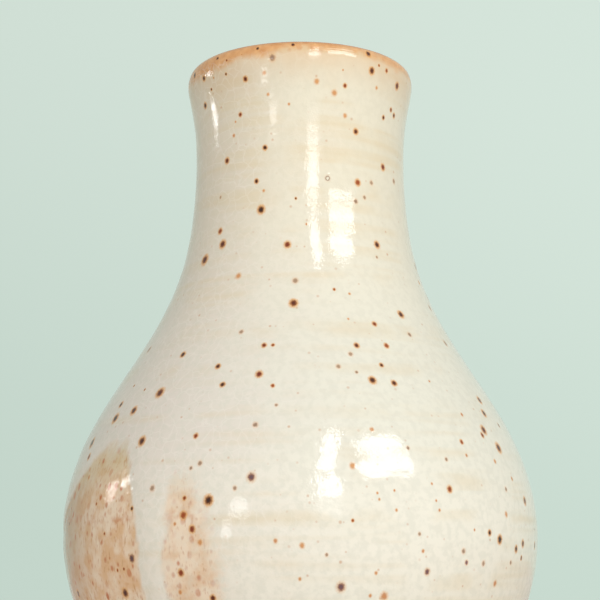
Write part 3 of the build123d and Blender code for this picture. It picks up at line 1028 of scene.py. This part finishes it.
def bled_iron():
    """Iron melted into the glaze: dark in the middle, rust and orange as it thins out into the glaze."""
    ragged_mm = 0.5
    ragged_reach = 0.5
    rust_in_fringe = 0.6
    material = fired_glaze("bled_iron")
    tree = material.node_tree
    shader = tree.nodes["Principled BSDF"]
    glaze = shader.inputs["Base Color"].links[0].from_socket
    iron = add_node(tree, "ShaderNodeAttribute", out="Color", attribute_name="iron")
    rim, core, halo, ring = [
        add_node(tree, "ShaderNodeAttribute", out="Fac", attribute_name=name)
        for name in ("rim", "core", "halo", "ring")
    ]
    mm = place_in_mm(tree)
    ragged = add_node(tree, "ShaderNodeTexNoise", {"Vector": mm, "Scale": 1 / ragged_mm, "Detail": 1.0})
    out = {0: rim, 1: halo_reach / bead_shown_share, 2: -ragged_reach / 2}
    out = add_node(tree, "ShaderNodeMath", out, operation="MULTIPLY_ADD")
    out = add_node(tree, "ShaderNodeMath", {0: ragged, 1: ragged_reach, 2: out}, operation="MULTIPLY_ADD")
    rusting = {"Factor": rust_in_fringe, "A": iron, "B": paint(fringe_hex)}
    rusting = add_node(tree, "ShaderNodeMix", rusting, **blend)
    spot = glaze

    # From the halo in to the middle: where each begins and is full, in core radii, its strength and colour
    for begins, full, strength, colour in (
        (1.7, 0.9, halo, paint(halo_hex)),
        (1.15, 0.55, core, rusting),
        (0.85, 0.25, core, iron),
        (0.6, 0.3, ring, glaze),
    ):
        share = {"Value": out, "From Min": begins, "From Max": full}
        share = add_node(tree, "ShaderNodeMapRange", share, **ease)
        share = add_node(tree, "ShaderNodeMath", {0: share, 1: strength}, operation="MULTIPLY")
        spot = add_node(tree, "ShaderNodeMix", {"Factor": share, "A": spot, "B": colour}, **blend)
    tree.links.new(spot, shader.inputs["Base Color"])
    return material


spots = [*seen_spots(), *far_spots()]
looks = [spot_looks[look] for _, _, _, look in spots]
points = bpy.data.meshes.new("iron_points")
points.from_pydata([place for place, _, _, _ in spots], [], [])
spot_values = {"reach": [radius * halo_reach / bead_shown_share for _, _, radius, _ in spots]}
for name in ("core", "halo", "ring"):
    spot_values[name] = [look[name] for look in looks]
for name, numbers in spot_values.items():
    given = points.attributes.new(name, "FLOAT", "POINT")
    given.data.foreach_set("value", np.array(numbers, np.float32))
facing = np.array([normal for _, normal, _, _ in spots], np.float32)
points.attributes.new("facing", "FLOAT_VECTOR", "POINT").data.foreach_set("vector", facing.ravel())
paleness = np.random.default_rng(spot_seed).uniform(size=(len(spots), 1))
dark_iron = np.array([paint(look["dark"]) for look in looks])
pale_iron = np.array([paint(look["pale"]) for look in looks])
iron = (dark_iron + (pale_iron - dark_iron) * paleness).astype(np.float32)
points.attributes.new("iron", "FLOAT_COLOR", "POINT").data.foreach_set("color", iron.ravel())
spot_sizes = {
    "Cream Coat": cream_glaze,
    "First Coat": first_glaze,
    "Lip Coat": lip_glaze,
    "Bead Sides": bead_sides,
    "Bead Rings": bead_rings,
    "Rise Share": bead_rise_share,
    "Material": bled_iron(),
}
iron_spots = made_plain("iron_spots", placed("iron_points", points), spot_tree(), spot_sizes)
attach(iron_spots, "root")

# Stage: a pale floor that fades out, in a pale green room with plain soft light. Lamps shaped like
# the panes of windows stand in front to the right and on the left, and the glaze mirrors them.
floor_hex = "#F4F3EE"
floor_radius = 0.8
floor_clear_radius = 0.45
floor_sides = 96
wall_low_hex = "#C6D8CD"
wall_high_hex = "#D3E2D8"
wall_rise = (-0.05, 0.35)
wall_tilt = 0.2
wall_brighter_right = 0.14
far_light_hex = "#66594A"
near_light_hex = "#FDFFFE"
brightest_way = (0.06, -0.89, -0.45)
light_reach = (-0.2, 1.0)
light_strength = 1.42
stage_middle = Vector((0, 0, 0.1))
lamp_distance = 1.5

# Each lamp: its shape, azimuth from the front, elevation and roll in degrees, width, height and glow
lamps = (
    ("left_low_pane", "RECTANGLE", 13.5, 13.3, 0.0, 0.29, 0.22, 1.6),
    ("left_middle_pane", "RECTANGLE", 13.5, 22.9, 0.0, 0.28, 0.285, 6.8),
    ("left_upper_pane", "RECTANGLE", 16.6, 40.2, -20.0, 0.18, 0.52, 6.8),
    ("right_lower_pane", "RECTANGLE", 45.0, 30.5, 0.0, 0.66, 0.2, 6.8),
    ("right_upper_pane", "ELLIPSE", 45.0, 39.9, 0.0, 0.6, 0.28, 6.8),
    ("side_pane", "ELLIPSE", -102.5, 12.8, 0.0, 0.13, 0.18, 11.0),
    ("far_left_upper_pane", "ELLIPSE", -28.0, 11.5, 0.0, 0.22, 0.25, 4.0),
    ("far_left_lower_pane", "ELLIPSE", -36.0, -2.5, 0.0, 0.2, 0.2, 4.0),
    ("back_fill", "RECTANGLE", 180.0, 10.0, 0.0, 1.0, 1.0, 3.0),
)
for name, shape, azimuth, elevation, roll, width, tall, glow in lamps:
    turn = math.radians(azimuth)
    lift = math.radians(elevation)
    level = math.cos(lift)
    away = Vector((math.sin(turn) * level, -math.cos(turn) * level, math.sin(lift)))
    data = bpy.data.lights.new(name, "AREA")
    data.shape = shape
    data.size = width
    data.size_y = tall
    filled = math.pi / 4 if shape == "ELLIPSE" else 1.0
    data.energy = glow * math.pi * width * tall * filled
    lamp = placed(name, data)
    lamp.location = stage_middle + away * lamp_distance
    facing_in = away.to_track_quat("Z", "Y")
    lamp.rotation_euler = (facing_in @ Quaternion((0, 0, 1), math.radians(roll))).to_euler()
    lamp.visible_camera = False
    lamp.visible_glossy = name != "back_fill"

world = bpy.data.worlds.new("pale_room")
world.use_nodes = True
bpy.context.scene.world = world
room_tree = world.node_tree
room_tree.nodes.clear()
way = add_node(room_tree, "ShaderNodeTexCoord", out="Generated")
ways = add_node(room_tree, "ShaderNodeSeparateXYZ", {0: way}).node.outputs
rising = {0: ways["X"], 1: wall_tilt, 2: ways["Z"]}
rising = add_node(room_tree, "ShaderNodeMath", rising, operation="MULTIPLY_ADD")
rising = {"Value": rising, "From Min": wall_rise[0], "From Max": wall_rise[1]}
rising = add_node(room_tree, "ShaderNodeMapRange", rising, **ease)
wall_colour = {"Factor": rising, "A": paint(wall_low_hex), "B": paint(wall_high_hex)}
wall_colour = add_node(room_tree, "ShaderNodeMix", wall_colour, **blend)
rays = add_node(room_tree, "ShaderNodeLightPath").node.outputs
seen = rays["Is Camera Ray"]
for ray in ("Is Glossy Ray", "Is Transmission Ray"):
    seen = add_node(room_tree, "ShaderNodeMath", {0: seen, 1: rays[ray]}, operation="MAXIMUM")
wall_strength = {0: ways["X"], 1: wall_brighter_right, 2: 1.0}
wall_strength = add_node(room_tree, "ShaderNodeMath", wall_strength, operation="MULTIPLY_ADD")
wall_seen = {"Color": wall_colour, "Strength": wall_strength}
wall_seen = add_node(room_tree, "ShaderNodeBackground", wall_seen)
to_front = {0: way, 1: brightest_way}
to_front = add_node(room_tree, "ShaderNodeVectorMath", to_front, operation="DOT_PRODUCT")
to_front = {"Value": to_front, "From Min": light_reach[0], "From Max": light_reach[1]}
to_front = add_node(room_tree, "ShaderNodeMapRange", to_front)
soft_light = {"Factor": to_front, "A": paint(far_light_hex), "B": paint(near_light_hex)}
soft_light = add_node(room_tree, "ShaderNodeMix", soft_light, **blend)
wall_light = {"Color": soft_light, "Strength": light_strength}
wall_light = add_node(room_tree, "ShaderNodeBackground", wall_light)
room_light = add_node(room_tree, "ShaderNodeMixShader", {0: seen, 1: wall_light, 2: wall_seen})
add_node(room_tree, "ShaderNodeOutputWorld", {"Surface": room_light})

floor_material, floor_tree, floor_shader = blank_material("pale_floor")
floor_shader.inputs["Base Color"].default_value = paint(floor_hex)
floor_shader.inputs["Roughness"].default_value = 0.9
floor_place = add_node(floor_tree, "ShaderNodeTexCoord", out="Object")
floor_reach = add_node(floor_tree, "ShaderNodeVectorMath", {0: floor_place}, operation="LENGTH")
floor_fade = {"Value": floor_reach, "From Min": floor_radius, "From Max": floor_clear_radius}
floor_fade = add_node(floor_tree, "ShaderNodeMapRange", floor_fade, **ease)
floor_tree.links.new(floor_fade, floor_shader.inputs["Alpha"])
floor_disc = bmesh.new()
bmesh.ops.create_circle(floor_disc, cap_ends=True, segments=floor_sides, radius=floor_radius)
floor_mesh = bpy.data.meshes.new("floor")
floor_disc.to_mesh(floor_mesh)
floor_disc.free()
floor_mesh.materials.append(floor_material)
floor = placed("floor", floor_mesh)

bpy.context.scene.view_settings.view_transform = "Standard"
